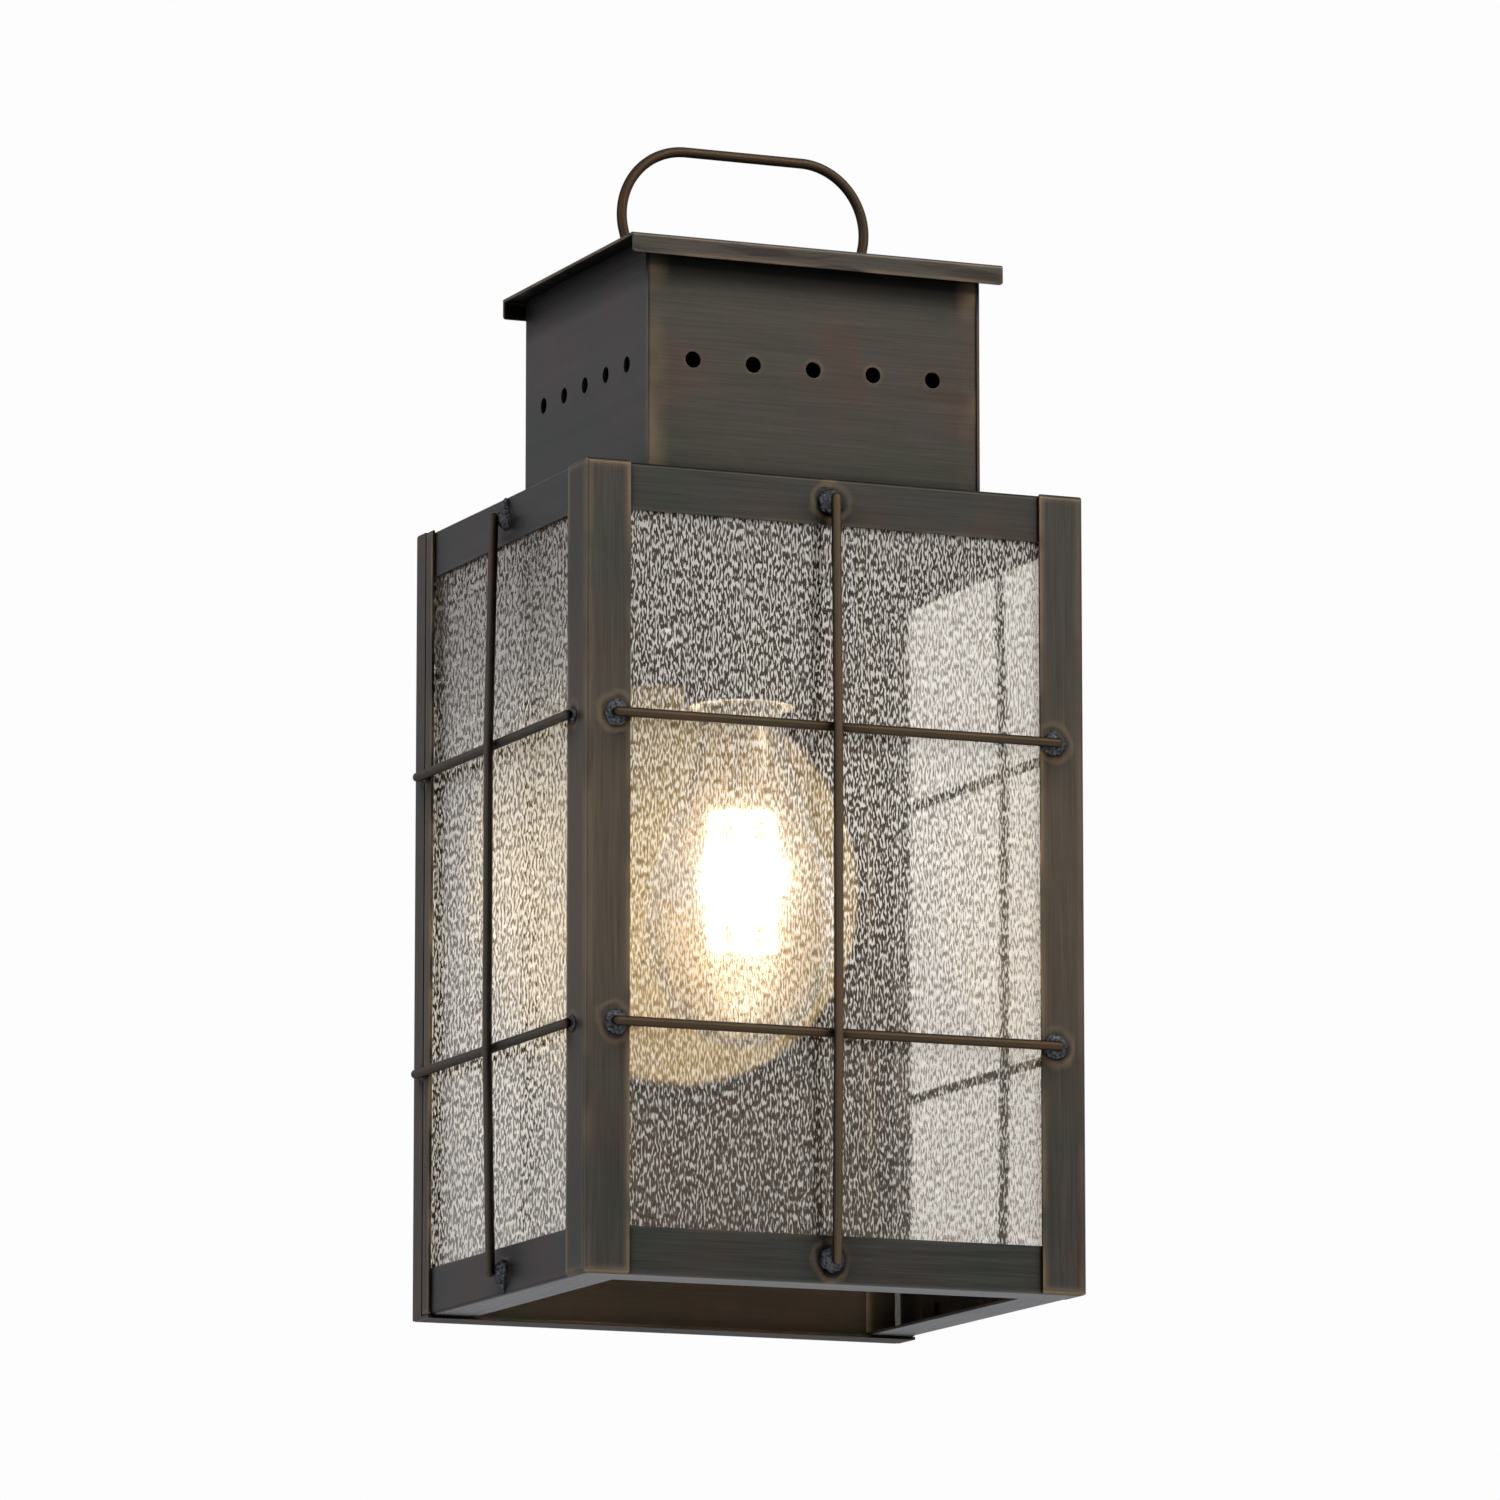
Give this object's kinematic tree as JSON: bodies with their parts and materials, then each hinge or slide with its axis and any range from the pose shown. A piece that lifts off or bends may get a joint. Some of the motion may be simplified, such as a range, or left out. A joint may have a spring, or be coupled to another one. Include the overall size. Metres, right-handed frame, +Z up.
{
  "type": "wall lantern",
  "caption": "Square outdoor wall lantern of bent dark bronze sheet with textured glass, soldered round bars, a vented chimney under a flat roof, a carrying loop and a lit filament lamp.",
  "frame": {"origin": "on the wall, at the centre of the mounting strap's two slots, which is the centre of the outlet box", "axes": "+Z up, +Y into the wall, so the lantern's front faces -Y, and +X to the right seen from the front"},
  "size_m": [0.1934, 0.1609, 0.3955],
  "materials": {
    "bronze": "dark oil-rubbed bronze patina over brushed brass, worn to copper on the edges",
    "solder": "darkened, lumpy solder",
    "rain_glass": "clear glass with a fine vertical rain texture",
    "dark_clip": "dark patina",
    "reflector_brass": "antique brass, satin",
    "steel": "zinc-plated steel",
    "earth_green": "green-dyed screw",
    "porcelain": "glazed white porcelain, opaque",
    "shell_brass": "bare brass, satin",
    "lamp_glass": "thin glass with a light amber tint",
    "lamp_cap": "bright drawn metal",
    "black_glass": "black vitrite insulator, opaque",
    "lamp_stem": "clear glass",
    "filament": "glowing filament sticks with a yellow coat",
    "lead_insulation": "plastic wire insulation",
    "rubber": "black rubber"
  },
  "bodies": {
    "fixture": {"post_front_left": "bronze", "post_front_right": "bronze", "post_rear_left": "bronze", "post_rear_right": "bronze", "rail_top_front": "bronze", "rail_top_left": "bronze", "rail_top_right": "bronze", "rail_top_rear": "bronze", "rail_bottom_front": "bronze", "rail_bottom_left": "bronze", "rail_bottom_right": "bronze", "rail_bottom_rear": "bronze", "top_deck": "dark_clip", "glass_front": "rain_glass", "glass_left": "rain_glass", "glass_right": "rain_glass", "glass_clips": "dark_clip", "bar_front_upright": "bronze", "bar_front_upper": "bronze", "bar_front_lower": "bronze", "bar_left_upright": "bronze", "bar_left_upper": "bronze", "bar_left_lower": "bronze", "bar_right_upright": "bronze", "bar_right_upper": "bronze", "bar_right_lower": "bronze", "solder_front": "solder", "solder_left": "solder", "solder_right": "solder", "chimney_front": "bronze", "chimney_rear": "bronze", "chimney_left": "bronze", "chimney_right": "bronze", "roof": "bronze", "handle": "bronze", "handle_solder": "solder", "back_pan": "bronze", "mounting_strap": "steel", "mounting_nipple": "steel", "strap_nut": "steel", "earth_screw": "earth_green", "reflector": "reflector_brass", "cap_nut": "dark_clip", "socket_nipple": "steel", "socket_nuts": "steel", "socket_cup": "bronze", "socket_porcelain": "porcelain", "screw_shell": "shell_brass", "centre_contact": "shell_brass", "lead_wires": "lead_insulation", "deck_grommet": "rubber", "pan_grommet": "rubber"},
    "lamp": {"lamp_glass": "lamp_glass", "lamp_cap": "lamp_cap", "lamp_insulator": "black_glass", "lamp_tip": "steel", "lamp_stem": "lamp_stem", "lamp_filaments": "filament"}
  },
  "joints": [
    {"name": "lamp_withdraw", "type": "slide", "parent": "fixture", "child": "lamp", "axis": [0, 0, -1], "range_m": [0, 0.235]}
  ]
}
